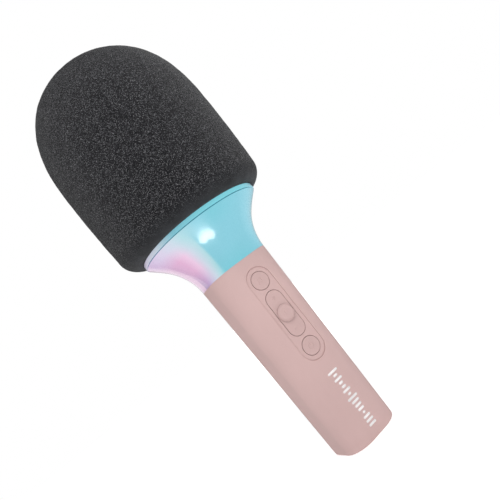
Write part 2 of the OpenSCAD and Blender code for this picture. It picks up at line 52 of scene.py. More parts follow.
def box_mm(node):
    """Lowest and highest corner of a CAD node, in millimetres."""
    low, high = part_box(node)
    return np.array(low) / MM, np.array(high) / MM


# ---- sizes from the frame

HALF_TOP, _, SLEEVE_TOP = box_mm("handle_sleeve")[1]
RING_LOW = box_mm("collar_ring")[0][2]
RING_RADIUS, _, RING_TOP = box_mm("collar_ring")[1]
FOAM_LOW = box_mm("foam_windscreen")[0][2]
_, FOAM_RADIUS, FOAM_TOP = box_mm("foam_windscreen")[1]
_, CAGE_RADIUS, CAGE_TOP = box_mm("head_cage")[1]

# ---- driving dimensions

HALF_BASE = 16.4
CORNER_SHARE = 0.72
WALL = 2.0
BASE_EDGE = 1.2
COLLAR_WALL = 1.8
FLARE_POWER = 1.85
ROUND_BY = 0.7          # share of the collar's height at which its section is a full circle
PANEL_HEIGHT = 73.3
PANEL_HALF_WIDTH = 7.1
PANEL_HALF_LENGTH = 27.6
PANEL_DEPTH = 0.45
KEY_RADIUS = 4.75
KEY_GAP = 0.22
KEY_PITCH = 20.1
ROCKER_HALF_LENGTH = 13.1
PLAY_RADIUS = 4.45
STEM_DEPTH = 4.3
DOME_BASE = 190.0
DOME_POWER = 2.45
FOAM_BORE = CAGE_RADIUS + 0.5

COLLAR_HEIGHT = RING_LOW - SLEEVE_TOP
TAPER = math.atan((HALF_TOP - HALF_BASE) / SLEEVE_TOP)


def half_at(z):
    """Half the handle's width across its flats at height z."""
    return HALF_BASE + (HALF_TOP - HALF_BASE) * z / SLEEVE_TOP


def flare_at(z):
    """Radius of the collar's flare at height z."""
    rise = max(0.0, (z - SLEEVE_TOP) / COLLAR_HEIGHT)
    return HALF_TOP + (RING_RADIUS - HALF_TOP) * rise ** FLARE_POWER


def share_at(z):
    """Corner radius of the collar's section as a share of its half width."""
    s = min(1.0, (z - SLEEVE_TOP) / COLLAR_HEIGHT / ROUND_BY)
    return CORNER_SHARE + (1 - CORNER_SHARE) * s * s * (3 - 2 * s)


# ---- camera

EYE_BEARING = -23.05    # degrees round the axis from the front
EYE_REACH = 259.1
EYE_HEIGHT = 86.2
HEADING = -26.04        # degrees
TILT = 5.25             # degrees above the horizon
ROLL = -38.90           # degrees
LENS = 35.18


def added(name, data):
    """A new object in the scene."""
    made = bpy.data.objects.new(name, data)
    bpy.context.scene.collection.objects.link(made)
    return made


def make_camera():
    """The camera at the photograph's angle, which leans the microphone to the left."""
    camera = added("camera", bpy.data.cameras.new("camera"))
    camera.data.sensor_width = 36
    camera.data.lens = LENS
    camera.data.clip_start = 0.01
    bearing = math.radians(EYE_BEARING)
    place = Vector((EYE_REACH * math.sin(bearing), -EYE_REACH * math.cos(bearing), EYE_HEIGHT))
    turn = (
        Matrix.Rotation(math.radians(HEADING), 4, "Z")
        @ Matrix.Rotation(math.radians(90 + TILT), 4, "X")
        @ Matrix.Rotation(math.radians(ROLL), 4, "Z")
    )
    camera.matrix_world = Matrix.Translation(place * MM) @ turn
    bpy.context.scene.camera = camera


# ---- node material helpers

class Paint:
    """A material with a Principled shader and short ways to add texture nodes to it."""

    def __init__(self, name, **values):
        self.material = bpy.data.materials.new(name)
        self.material.use_nodes = True
        self.tree = self.material.node_tree
        self.shader = self.tree.nodes["Principled BSDF"]
        for socket, value in values.items():
            self.shader.inputs[socket.replace("_", " ")].default_value = value
        self.place = self.node("ShaderNodeTexCoord").outputs["Object"]

    def node(self, kind, values=None, **settings):
        """A new node with values on some of its sockets."""
        made = self.tree.nodes.new(kind)
        for key, value in settings.items():
            setattr(made, key, value)
        for socket, value in (values or {}).items():
            made.inputs[socket].default_value = value
        return made

    def link(self, source, target):
        self.tree.links.new(source, target)

    def texture(self, kind, values, place=None, **settings):
        """A node that reads the object's own coordinates."""
        made = self.node(kind, values, **settings)
        self.link(place or self.place, made.inputs["Vector"])
        return made

    def noise(self, pitch, detail=2.0, roughness=0.5, distortion=0.0, stretch=None):
        """Noise between 0 and 1 whose features are about pitch millimetres across."""
        values = {"Scale": 1 / (pitch * MM), "Detail": detail}
        values |= {"Roughness": roughness, "Distortion": distortion}
        place = None
        if stretch:
            place = self.texture("ShaderNodeMapping", {"Scale": stretch}).outputs["Vector"]
        return self.texture("ShaderNodeTexNoise", values, place).outputs["Fac"]

    def cells(self, pitch, feature="F1"):
        """Cells round scattered points about pitch millimetres apart: their colours and distances."""
        return self.texture("ShaderNodeTexVoronoi", {"Scale": 1 / (pitch * MM)}, feature=feature).outputs

    def waves(self, pitch):
        """Bands across the Z axis, about pitch millimetres apart."""
        values = {"Scale": 0.314 / (pitch * MM)}
        return self.texture("ShaderNodeTexWave", values, bands_direction="Z").outputs["Fac"]

    def ramp(self, source, *stops):
        """Colours along a value: stops are (position, colour)."""
        made = self.node("ShaderNodeValToRGB")
        steps = made.color_ramp.elements
        while len(steps) < len(stops):
            steps.new(0.5)
        for step, (position, colour) in zip(steps, stops):
            step.position = position
            step.color = colour_of(colour)
        self.link(source, made.inputs["Fac"])
        return made.outputs["Color"]

    def shades(self, source, colour, dark, bright, low=0.3, high=0.7):
        """A colour that goes from a darker to a brighter shade of itself along a value."""
        return self.ramp(source, (low, shaded(colour, dark)), (high, shaded(colour, bright)))

    def rescale(self, source, from_low, from_high, to_low, to_high):
        """A value mapped from one range to another, and held inside it."""
        made = self.node("ShaderNodeMapRange")
        for socket, value in zip(made.inputs[1:5], (from_low, from_high, to_low, to_high)):
            socket.default_value = value
        self.link(source, made.inputs["Value"])
        return made.outputs["Result"]

    def feed(self, socket, value):
        """Links a socket to another one, or sets it to a number or a colour."""
        if isinstance(value, bpy.types.NodeSocket):
            self.link(value, socket)
        elif socket.type == "RGBA":
            socket.default_value = colour_of(value)
        else:
            socket.default_value = value

    def maths(self, operation, first, second):
        """One Math node."""
        made = self.node("ShaderNodeMath", operation=operation)
        self.feed(made.inputs[0], first)
        self.feed(made.inputs[1], second)
        return made.outputs["Value"]

    def mix(self, share, first, second, blend="MIX"):
        """One colour laid over another."""
        made = self.node("ShaderNodeMix", data_type="RGBA", blend_type=blend)
        for number, value in ((0, share), (6, first), (7, second)):
            self.feed(made.inputs[number], value)
        return made.outputs[2]

    def part(self, axis):
        """One of the object's own coordinates, in metres."""
        return self.texture("ShaderNodeSeparateXYZ", {}).outputs[axis]

    def climb(self, start, end):
        """How far up a point is: 0 at the first height and below it, 1 at the second and above."""
        return self.rescale(self.part("Z"), start * MM, end * MM, 0.0, 1.0)

    def bump(self, height, depth, strength=1.0):
        """Relief of that many millimetres on the shader's normal."""
        made = self.node("ShaderNodeBump", {"Distance": depth * MM, "Strength": strength})
        self.link(height, made.inputs["Height"])
        self.link(made.outputs["Normal"], self.shader.inputs["Normal"])

    def drive(self, socket, source):
        self.link(source, self.shader.inputs[socket])

    def roughen(self, source, low, high):
        """Roughness that wanders between two values."""
        self.drive("Roughness", self.rescale(source, 0.3, 0.7, low, high))

    def finish(self, source, colour, shades, roughness, relief, depth):
        """Colour and roughness that wander with a value, and relief. Returns the material."""
        self.drive("Base Color", self.shades(source, colour, *shades))
        self.roughen(source, *roughness)
        self.bump(relief, depth)
        return self.material


def colour_of(colour):
    """A colour with alpha, from its three numbers or one grey value."""
    if isinstance(colour, (int, float)):
        return (colour, colour, colour, 1.0)
    return (*colour, 1.0)


def srgb(red, green, blue):
    """A linear colour from the 0 to 255 values of a screen colour."""
    def linear(value):
        share = value / 255
        return share / 12.92 if share <= 0.04045 else ((share + 0.055) / 1.055) ** 2.4
    return (linear(red), linear(green), linear(blue))


def shaded(colour, share):
    return tuple(value * share for value in colour)


# ---- materials

def soft_touch(name, colour):
    """Moulded plastic with a matt soft-touch coat: fine grain and a faint mottle."""
    paint = Paint(name, Roughness=0.55, Specular_IOR_Level=0.42)
    tone = paint.shades(paint.noise(24, detail=3), colour, 0.975, 1.025)
    speckle = paint.noise(0.35, detail=1)
    fine = paint.ramp(speckle, (0.25, 0.965), (0.75, 1.0))
    paint.drive("Base Color", paint.mix(1.0, tone, fine, "MULTIPLY"))
    paint.roughen(speckle, 0.5, 0.62)
    paint.bump(paint.noise(0.22), 0.012)
    return paint.material


def moulded(name, colour, roughness=0.45, grain=0.02):
    """Plain injection-moulded plastic with a spark-eroded grain."""
    paint = Paint(name, Roughness=roughness)
    paint.drive("Base Color", paint.shades(paint.noise(9, detail=3), colour, 0.9, 1.1))
    grains = paint.noise(0.4)
    paint.roughen(grains, roughness - 0.07, roughness + 0.08)
    paint.bump(grains, grain)
    return paint.material


def metal(name, colour, brushed=(1, 1, 30)):
    """Machined or drawn metal with fine lines along one direction."""
    paint = Paint(name, Metallic=1.0, Roughness=0.3)
    lines = paint.noise(1.2, detail=4, roughness=0.6, stretch=brushed)
    streaks = paint.shades(lines, colour, 0.85, 1.0)
    stain = paint.shades(paint.noise(3), colour, 0.92, 1.0)
    paint.drive("Base Color", paint.mix(0.5, streaks, stain))
    paint.roughen(lines, 0.22, 0.42)
    paint.bump(lines, 0.01)
    return paint.material


def circuit_board(name, colour, track):
    """Solder mask over a mesh of copper tracks, with plated points."""
    paint = Paint(name, Roughness=0.35)
    edges = paint.cells(1.6, feature="DISTANCE_TO_EDGE")["Distance"]
    tracks = paint.ramp(edges, (0.03, track), (0.06, colour))
    dots = paint.ramp(paint.cells(2.1)["Distance"], (0.1, srgb(205, 196, 160)), (0.13, 0.0))
    paint.drive("Base Color", paint.mix(1.0, tracks, dots, "LIGHTEN"))
    paint.roughen(paint.noise(0.8), 0.28, 0.45)
    paint.bump(edges, 0.03, 0.4)
    return paint.material


def wound_copper(name):
    """Lacquered copper wire wound in even turns."""
    paint = Paint(name, Metallic=1.0, Roughness=0.28)
    turns = paint.waves(0.25)
    paint.drive("Base Color", paint.ramp(turns, (0.1, srgb(110, 58, 30)), (0.6, srgb(205, 125, 75))))
    paint.bump(turns, 0.06)
    return paint.material


def shrink_wrap(name, colour):
    """Thin heat-shrunk film, tight and slightly wrinkled."""
    paint = Paint(name, Roughness=0.25, Coat_Weight=0.4, Coat_Roughness=0.15)
    wrinkles = paint.noise(6, detail=4, roughness=0.55, stretch=(1, 1, 0.35))
    return paint.finish(wrinkles, colour, (0.8, 1.12, 0.3, 0.75), (0.2, 0.34), wrinkles, 0.12)


def paper_cone(name, colour):
    """Pressed paper pulp with short fibres."""
    paint = Paint(name, Roughness=0.85)
    fibres = paint.noise(0.7, detail=5, roughness=0.7, distortion=1.2)
    return paint.finish(fibres, colour, (0.6, 1.6), (0.75, 0.95), fibres, 0.06)


def rubber(name, colour):
    """Matt rubber or dense foam with a dusty bloom."""
    paint = Paint(name, Roughness=0.75)
    bloom = paint.noise(2.4, detail=4, roughness=0.65)
    return paint.finish(bloom, colour, (0.8, 1.5, 0.35, 0.75), (0.65, 0.85), paint.noise(0.3), 0.02)


def wire_cover(name, colour):
    """Glossy soft plastic on a thin lead."""
    paint = Paint(name, Roughness=0.35)
    return paint.finish(paint.noise(1.5), colour, (0.85, 1.1), (0.3, 0.45), paint.noise(0.5), 0.01)


FOAM_GRAIN_PITCH = 0.25
FOAM_FOOT_HEIGHT = 8    # above the windscreen's foot, where its smooth skin has turned grainy


def open_cell_foam(name):
    """Dark reticulated foam: every grain has its own tone, and the skin at the foot is smoother."""
    paint = Paint(name, Roughness=0.95, Specular_IOR_Level=0.1, Sheen_Weight=0.1, Sheen_Roughness=0.4)
    grains = paint.cells(FOAM_GRAIN_PITCH)
    tone = paint.node("ShaderNodeSeparateColor")
    paint.link(grains["Color"], tone.inputs["Color"])
    grainy = paint.ramp(
        tone.outputs["Red"], (0.0, srgb(7, 7, 8)), (0.45, srgb(27, 27, 30)),
        (0.82, srgb(53, 53, 56)), (1.0, srgb(122, 122, 125)),
    )
    smooth = paint.ramp(paint.noise(9, detail=3), (0.3, srgb(36, 37, 39)), (0.7, srgb(52, 54, 57)))
    height = paint.climb(FOAM_LOW + 0.6, FOAM_LOW + FOAM_FOOT_HEIGHT)
    paint.drive("Base Color", paint.mix(height, smooth, grainy))
    relief = paint.maths("MULTIPLY", grains["Distance"], paint.rescale(height, 0, 1, 0.15, 1.0))
    paint.bump(relief, 0.3)
    return paint.material


# Colours in the collar: mostly the light of its LEDs. The pale aqua and white between -36 and -62 degrees
# are a painted highlight down the front-left corner, and the pale pinks and the brighter-than-white at the
# far left, -88 to -117 degrees, are a painted rim reflection
PERIWINKLE = (160, 190, 236)
CORNFLOWER = (146, 200, 240)
SKY = (168, 234, 252)
ICE = (210, 250, 255)
AQUA = (140, 212, 229)
TEAL = (129, 209, 224)
TURQUOISE = (138, 228, 242)
MINT_PAINTED_HIGHLIGHT = (186, 229, 237)
FROST_PAINTED_HIGHLIGHT = (214, 228, 242)
LILAC = (206, 178, 222)
MAUVE = (196, 168, 212)
ORCHID = (228, 184, 222)
ROSE = (238, 188, 224)
BLUSH = (248, 212, 240)
PEARL_PAINTED_RIM = (282, 270, 282)
LAVENDER = (228, 219, 243)
WISTERIA = (226, 198, 238)

# Where they lie round the axis: degrees from the front, positive to the right. Each table holds the LED
# colours together with that painted highlight, and the collar's tables the painted rim reflection too
MIDDLE_GLOW_AND_HIGHLIGHTS = [
    (-117, PEARL_PAINTED_RIM), (-101, BLUSH), (-88, BLUSH), (-85, ORCHID), (-66, ROSE), (-55, BLUSH), (-45, FROST_PAINTED_HIGHLIGHT),
    (-36, MINT_PAINTED_HIGHLIGHT), (-33, AQUA), (22, AQUA), (50, SKY), (62, ICE), (110, CORNFLOWER),
]
LOW_GLOW_AND_HIGHLIGHTS = [
    (-117, PEARL_PAINTED_RIM), (-101, BLUSH), (-89, BLUSH), (-86, MAUVE), (-65, LILAC), (-46, FROST_PAINTED_HIGHLIGHT), (-40, MINT_PAINTED_HIGHLIGHT),
    (-32, TEAL), (5, TEAL), (32, AQUA), (52, SKY), (110, CORNFLOWER),
]
HIGH_GLOW_AND_HIGHLIGHTS = [
    (-112, BLUSH), (-90, WISTERIA), (-64, LAVENDER), (-50, FROST_PAINTED_HIGHLIGHT), (-40, MINT_PAINTED_HIGHLIGHT), (-24, AQUA), (-8, TEAL),
    (22, AQUA), (55, SKY), (110, CORNFLOWER),
]
RING_GLOW_AND_HIGHLIGHTS = [
    (-90, LAVENDER), (-62, FROST_PAINTED_HIGHLIGHT), (-42, AQUA), (-15, TURQUOISE), (25, TURQUOISE), (60, SKY),
]

COLLAR_GLOW = 0.4       # strength of the glow: the LEDs' light from inside, with the painted highlight and rim reflection carried in its colour
COLLAR_PASTEL = 0.5     # share of the same colours that the plastic itself has
SEAM_GAP = 0.45         # height and depth of the seam groove round the collar's rim, darker from its own shade and from painted shade
SEAM_DEPTH = 0.7
# Painted shade: what the collar's colour is multiplied by in the seam groove
SEAM_PAINTED_SHADE = (0.04, 0.28, 0.34)


def lit_plastic(name):
    """Glossy frosted plastic with a fine grain."""
    paint = Paint(name, Roughness=0.3, Coat_Weight=1.0, Coat_Roughness=0.13, Specular_IOR_Level=0.2)
    paint.feed(paint.shader.inputs["Emission Strength"], COLLAR_GLOW)
    grain = paint.noise(0.5)
    paint.roughen(grain, 0.22, 0.34)
    paint.bump(grain, 0.004)
    return paint


def around(paint, lights):
    """Colours laid round the axis, LED light and painted highlights among them, with PERIWINKLE at the
    back.
    """
    angle = paint.maths("ARCTAN2", paint.part("X"), paint.maths("MULTIPLY", paint.part("Y"), -1.0))
    turn = paint.rescale(angle, -math.pi, math.pi, 0.0, 1.0)
    stops = [(-180, PERIWINKLE), *lights, (180, PERIWINKLE)]
    return paint.ramp(turn, *[(0.5 + degrees / 360, srgb(*colour)) for degrees, colour in stops])


def lit(paint, colour):
    """Part of a colour glows, the LEDs' light together with any painted highlight or rim reflection in it,
    and the rest is what the room's light shows.
    """
    paint.drive("Base Color", paint.mix(1.0, colour, COLLAR_PASTEL, "MULTIPLY"))
    paint.drive("Emission Color", colour)
    return paint.material


def collar_diffuser(name):
    """Frosted plastic lit from inside: one colour blends into the next round the collar. A painted
    highlight runs down its front-left corner, a painted rim reflection lies at its far left and painted
    shade darkens the seam under the ring.
    """
    paint = lit_plastic(name)
    low = paint.climb(SLEEVE_TOP, SLEEVE_TOP + 10)
    high = paint.climb(RING_LOW - 9, RING_LOW - 3)
    seam = paint.climb(RING_LOW - SEAM_GAP, RING_LOW - SEAM_GAP / 2)
    colour = paint.mix(low, around(paint, LOW_GLOW_AND_HIGHLIGHTS), around(paint, MIDDLE_GLOW_AND_HIGHLIGHTS))
    colour = paint.mix(high, colour, around(paint, HIGH_GLOW_AND_HIGHLIGHTS))
    # painted shade in the seam groove under the ring
    colour = paint.mix(seam, colour, paint.mix(1.0, colour, SEAM_PAINTED_SHADE, "MULTIPLY"))
    return lit(paint, colour)


def ring_diffuser(name):
    """The same plastic on the ring above, with the painted highlight on its front left."""
    paint = lit_plastic(name)
    return lit(paint, around(paint, RING_GLOW_AND_HIGHLIGHTS))


# ---- mesh helpers

class Skin:
    """Points and faces gathered ring by ring, in millimetres."""

    def __init__(self):
        self.points = []
        self.faces = []
        self.count = 0

    def ring(self, points):
        """Adds a row of points and returns their numbers."""
        points = np.asarray(points, float).reshape(-1, 3)
        self.points.append(points)
        numbers = list(range(self.count, self.count + len(points)))
        self.count += len(points)
        return numbers

    def bridge(self, first, second, skip=()):
        """Quads between two closed rows of equal length, apart from the columns to skip."""
        for k in range(len(first)):
            if k not in skip:
                n = (k + 1) % len(first)
                self.faces.append((first[k], first[n], second[n], second[k]))

    def stack(self, rows, before=()):
        """Rings added one after another and bridged, on from those before. Returns the first and last."""
        rings = [*before, *[self.ring(row) for row in rows]]
        for first, second in zip(rings, rings[1:]):
            self.bridge(first, second)
        return rings[0], rings[-1]

    def fan(self, ring, centre):
        """Triangles from a ring to one point."""
        tip = self.ring([centre])[0]
        for k in range(len(ring)):
            self.faces.append((ring[k], ring[(k + 1) % len(ring)], tip))

    def fill(self, *loops):
        """Triangles inside the first loop and outside the others, as seen on the front face."""
        everything = np.vstack(self.points)
        order = [number for loop in loops for number in loop]
        shapes = [[Vector((*face_place(everything[number]), 0.0)) for number in loop] for loop in loops]
        for triangle in tessellate_polygon(shapes):
            self.faces.append(tuple(order[k] for k in triangle))

    def block(self, rows):
        """A stack with both of its ends filled."""
        first, last = self.stack(rows)
        self.fill(last)
        self.fill(first)

    def prism(self, outline, low, high):
        """A block with the same outline on the front face at two depths."""
        self.block([[on_face(*place, depth) for place in outline] for depth in (low, high)])

    def piece(self, name, material, body, node=None, slot=None):
        """The finished object, riding on its body and standing for its CAD node."""
        mesh = bpy.data.meshes.new(name)
        mesh.from_pydata((np.vstack(self.points) * MM).tolist(), [], self.faces)
        tidy = bmesh.new()
        tidy.from_mesh(mesh)
        bmesh.ops.recalc_face_normals(tidy, faces=tidy.faces)
        tidy.to_mesh(mesh)
        tidy.free()
        mesh.shade_smooth()
        mesh.materials.append(material)
        made = added(name, mesh)
        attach(made, body)
        if node:
            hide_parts(node)
        return made


def even_normals(piece):
    """Large flat faces keep their own normal, and so only the rounded edges shade."""
    piece.data.set_sharp_from_angle(angle=math.radians(40))
    weigh = piece.modifiers.new("even", "WEIGHTED_NORMAL")
    weigh.weight = 100
    weigh.keep_sharp = True
    return piece


CORNER_STEPS = 24
FLAT_STEPS = 6
FRONT_LEFT_END = 2 * CORNER_STEPS + FLAT_STEPS     # first column of the front flat
FRONT_RIGHT_START = FRONT_LEFT_END + FLAT_STEPS


def section(half, radius, z):
    """Points round a rounded square at height z, from the back end of its back left corner."""
    flat = half - radius
    points = []
    for corner, (x, y) in enumerate(((-flat, flat), (-flat, -flat), (flat, -flat), (flat, flat))):
        turns = arc_steps(CORNER_STEPS, 90 + 90 * corner, 180 + 90 * corner)
        points += [(*place, z) for place in arc(radius, turns[:-1], x, y)]
        across, up = math.cos(turns[-1]), math.sin(turns[-1])
        for step in range(FLAT_STEPS):
            along = 2 * flat * step / FLAT_STEPS
            points.append((x + radius * across - up * along, y + radius * up + across * along, z))
    return np.array(points)


def ring_points(reach, height, angles):
    """Points round the axis at one height. Reach is one number, or one for each angle."""
    heights = np.full(len(angles), height)
    return np.column_stack([reach * np.cos(angles), reach * np.sin(angles), heights])


def whole_turn(count):
    return np.linspace(0, 2 * math.pi, count, endpoint=False)


def arc_steps(count, start=0.0, end=90.0):
    """Angles in radians, evenly spaced, both ends included."""
    return [math.radians(start + (end - start) * k / count) for k in range(count + 1)]


def arc(radius, turns, x=0.0, y=0.0):
    """Places round (x, y) at angles from the X axis."""
    return [(x + radius * math.cos(turn), y + radius * math.sin(turn)) for turn in turns]


def rounding(size, steps):
    """A quarter round, as distances in from its first side and in from its second."""
    return [(size * (1 - math.sin(angle)), size * (1 - math.cos(angle))) for angle in arc_steps(steps)]


FACE_ORIGIN = np.array([0.0, -half_at(PANEL_HEIGHT), PANEL_HEIGHT])
FACE_UP = np.array([0.0, -math.sin(TAPER), math.cos(TAPER)])
FACE_OUT = np.array([0.0, -math.cos(TAPER), -math.sin(TAPER)])
FACE_ACROSS = np.array([1.0, 0.0, 0.0])


def on_face(x, y, depth):
    """A point given by its place on the front face and its depth below it."""
    return FACE_ORIGIN + x * FACE_ACROSS + y * FACE_UP - depth * FACE_OUT


def face_place(point):
    """Where a point lies on the front face: across and up."""
    moved = np.asarray(point) - FACE_ORIGIN
    return (moved @ FACE_ACROSS, moved @ FACE_UP)


def face_drop(x, y):
    """How far the handle's rounded front lies below the plane of its flat middle."""
    drop = 0.0
    for _ in range(3):
        z = PANEL_HEIGHT + y * math.cos(TAPER) + drop * math.sin(TAPER)
        half = half_at(z)
        radius = half * CORNER_SHARE
        past = max(0.0, abs(x) - (half - radius))
        drop = (radius - math.sqrt(radius * radius - past * past)) * math.cos(TAPER)
    return drop


def stadium(half_width, half_length, count, offset=0.0):
    """Outline of a round-ended slot as count places, the same directions for every offset."""
    straight = half_length - half_width
    radius = half_width + offset
    quarter = math.pi * half_width / 2
    length = 4 * (quarter + straight)
    places = []
    for k in range(count):
        half, run = divmod(length * k / count, length / 2)
        down = min(max(run - quarter, 0.0), 2 * straight)
        angle = (run - down) / half_width
        side = 1 - 2 * half
        up = straight - down + radius * math.cos(angle)
        places.append((side * radius * math.sin(angle), side * up))
    return places


def circle(radius, count, y=0.0):
    """Places round a circle whose middle is at height y on the face."""
    turns = [2 * math.pi * k / count for k in range(count)]
    return [(radius * math.sin(turn), y + radius * math.cos(turn)) for turn in turns]


def face_rows(outline, levels):
    """Rows on the front face: the outline at each level's offset, at that level's depth."""
    return [[on_face(x, y, depth) for x, y in outline(offset)] for offset, depth in levels]


# ---- handle sleeve

PANEL_EDGE = 0.2        # rounding at the top of the sunk panel's wall
GROOVE = 0.56           # depth of the fine groove at the foot of that wall
HOLE_EDGE = 0.12
PATCH_LOW = 42.5        # heights between which the front of the sleeve is shaped round the panel
PATCH_HIGH = 104.1
PATCH_ROWS = 40
PATCH_COLUMNS = 6       # columns of each front corner that belong to that stretch
SEAM_EDGE = 0.1


def outer_section(z, inset=0.0, lift=0.0):
    half = half_at(z)
    return section(half - inset, half * CORNER_SHARE - inset, z + lift)


def sleeve_rows():
    """The sleeve's outer rings from the bottom up, and the number of the patch's first row."""
    rows = [outer_section(0.0, inset, rise) for inset, rise in rounding(BASE_EDGE, 8)]
    rows += [outer_section(z) for z in np.linspace(BASE_EDGE, PATCH_LOW, 14)[1:-1]]
    first = len(rows)
    rows += [outer_section(z) for z in np.linspace(PATCH_LOW, PATCH_HIGH, PATCH_ROWS + 1)]
    rows.append(outer_section(SLEEVE_TOP - SEAM_EDGE))
    rows += [outer_section(SLEEVE_TOP, inset, -drop) for drop, inset in rounding(SEAM_EDGE, 3)[1:]]
    return rows, first


def panel_spot(x, y, offset):
    """The nearest place on the panel's outline, moved outwards by offset."""
    straight = PANEL_HALF_LENGTH - PANEL_HALF_WIDTH
    centre = min(max(y, -straight), straight)
    reach = math.hypot(x, y - centre)
    scale = (PANEL_HALF_WIDTH + offset) / reach
    return x * scale, centre + (y - centre) * scale


def key_holes():
    """Each key hole's outline at an offset from its edge, as a function of the offset."""
    hole = KEY_RADIUS + KEY_GAP
    return [
        lambda offset: circle(hole + offset, 64, KEY_PITCH),
        lambda offset: stadium(hole, ROCKER_HALF_LENGTH + KEY_GAP, 112, offset),
        lambda offset: circle(hole + offset, 64, -KEY_PITCH),
    ]


def make_sleeve(material):
    """The pink handle shell, with its sunk key panel, key holes and open inside."""
    skin = Skin()
    rows, first = sleeve_rows()
    last = first + PATCH_ROWS
    left = FRONT_LEFT_END - PATCH_COLUMNS
    right = FRONT_RIGHT_START + PATCH_COLUMNS
    rings = [skin.ring(row) for row in rows]
    patch = range(left, right)
    for row, (low, high) in enumerate(zip(rings, rings[1:])):
        skin.bridge(low, high, patch if first <= row < last else ())

    # The edge of the patch, and rings that close in on the panel from it
    edge = [rings[first][k] for k in patch]
    edge += [rings[row][right] for row in range(first, last)]
    edge += [rings[last][k] for k in range(right, left, -1)]
    edge += [rings[row][left] for row in range(last, first, -1)]
    corners = np.vstack(skin.points)
    outside = [face_place(corners[number]) for number in edge]
    rim = [panel_spot(x, y, PANEL_EDGE) for x, y in outside]
    rows = []
    for share in (0.2, 0.42, 0.64, 0.84, 0.95, 1.0):
        places = [(x + (a - x) * share, y + (b - y) * share) for (x, y), (a, b) in zip(outside, rim)]
        rows.append([on_face(*place, face_drop(*place)) for place in places])

    # The wall of the panel: rounded edge, wall, rounded foot
    for offset, down in rounding(PANEL_EDGE, 4)[1:]:
        places = [panel_spot(*place, offset) for place in outside]
        rows.append([on_face(*place, down + face_drop(*place)) for place in places])
    profile = (
        (0.0, PANEL_DEPTH), (-0.02, GROOVE), (-0.08, GROOVE + 0.03), (-0.14, GROOVE + 0.03),
        (-0.2, GROOVE), (-0.22, PANEL_DEPTH + 0.04), (-0.28, PANEL_DEPTH), (-0.6, PANEL_DEPTH),
    )
    rows += face_rows(lambda offset: [panel_spot(*place, offset) for place in outside], profile)

    # The floor of the panel, and the key holes down to the inside
    floor_loops = [skin.stack(rows, [edge])[1]]
    inside_loops = []
    inner_depth = WALL * math.cos(TAPER)
    for outline in key_holes():
        levels = [(HOLE_EDGE + 0.25, PANEL_DEPTH)]
        levels += [(offset, PANEL_DEPTH + down) for offset, down in rounding(HOLE_EDGE, 4)]
        levels.append((0.0, inner_depth))
        start, end = skin.stack(face_rows(outline, levels))
        floor_loops.append(start)
        inside_loops.append(end)
    skin.fill(*floor_loops)

    # The inside, whose front strip is flat and holds the key holes
    inner_low = skin.ring(section(HALF_BASE - WALL, HALF_BASE * CORNER_SHARE - WALL, 0.0))
    inner_high = skin.ring(section(HALF_TOP - WALL, HALF_TOP * CORNER_SHARE - WALL, SLEEVE_TOP))
    strip = range(FRONT_LEFT_END - 1, FRONT_RIGHT_START + 1)
    skin.bridge(inner_low, inner_high, strip)
    strip_edge = [inner_low[k] for k in strip] + [inner_low[strip[-1] + 1]]
    strip_edge += [inner_high[strip[-1] + 1]] + [inner_high[k] for k in reversed(strip)]
    skin.fill(strip_edge, *inside_loops)
    skin.bridge(rings[0], inner_low)
    skin.bridge(rings[-1], inner_high)
    return even_normals(skin.piece("handle_shell", material, "handle", "handle_sleeve", "handle_pink"))


# ---- keys

FLANGE_DEPTH = 2.1
FLANGE_END = 2.9
FLANGE_REACH = 0.8
STEM_RADIUS = 1.5
KEY_TOP = 0.3           # depth of the key tops below the handle's front
KEY_EDGE = 0.2
CROWN = 0.08            # rise of a round key's top, all of it within CROWN_REACH of its edge
CROWN_REACH = 3.2
ICON_RISE = 0.1
ICON_SUNK = 0.15


def key_stack(side_levels, crown=CROWN):
    """Offsets and depths of a key's rows, from the middle of its top outwards and down."""
    rows = [(-inset, KEY_TOP + down) for down, inset in reversed(rounding(KEY_EDGE, 5))]
    for step in (0.15, 0.6, 1.4, 2.4, 3.4):
        rows.insert(0, (-KEY_EDGE - step, KEY_TOP - crown * min(1.0, step / CROWN_REACH)))
    return rows + side_levels


def make_key(name, body, node, y, icons, material):
    """A round key with a rounded edge, a flange behind the wall and a stem."""
    skin = Skin()
    levels = key_stack([
        (0.0, FLANGE_DEPTH), (FLANGE_REACH, FLANGE_DEPTH), (FLANGE_REACH, FLANGE_END),
        (STEM_RADIUS - KEY_RADIUS, FLANGE_END), (STEM_RADIUS - KEY_RADIUS, STEM_DEPTH),
    ])
    top, bottom = skin.stack(face_rows(lambda offset: circle(KEY_RADIUS + offset, 72, y), levels))
    skin.fan(top, on_face(0, y, levels[0][1] - 0.005))
    skin.fan(bottom, on_face(0, y, STEM_DEPTH))
    for shape in icons:
        raise_icon(skin, shape, KEY_TOP - CROWN, y=y)
    return even_normals(skin.piece(name, material, body, node, "key_pink"))


def raise_icon(skin, outline, depth, x=0.0, y=0.0):
    """A shallow raised mark with a sloping edge, its foot sunk in the key's top."""
    places = np.array(outline, float)
    ahead = np.roll(places, -1, axis=0) - np.roll(places, 1, axis=0)
    ahead /= np.linalg.norm(ahead, axis=1)[:, None]
    inward = np.column_stack([ahead[:, 1], -ahead[:, 0]])
    area = np.sum(places[:, 0] * np.roll(places[:, 1], -1) - np.roll(places[:, 0], -1) * places[:, 1])
    if area > 0:
        inward = -inward
    rows = []
    for inset, level in ((0.0, ICON_SUNK), (0.0, -ICON_RISE * 0.5), (0.05, -ICON_RISE)):
        moved = places + inward * inset
        rows.append([on_face(x + a, y + b, depth + level) for a, b in moved])
    skin.block(rows)


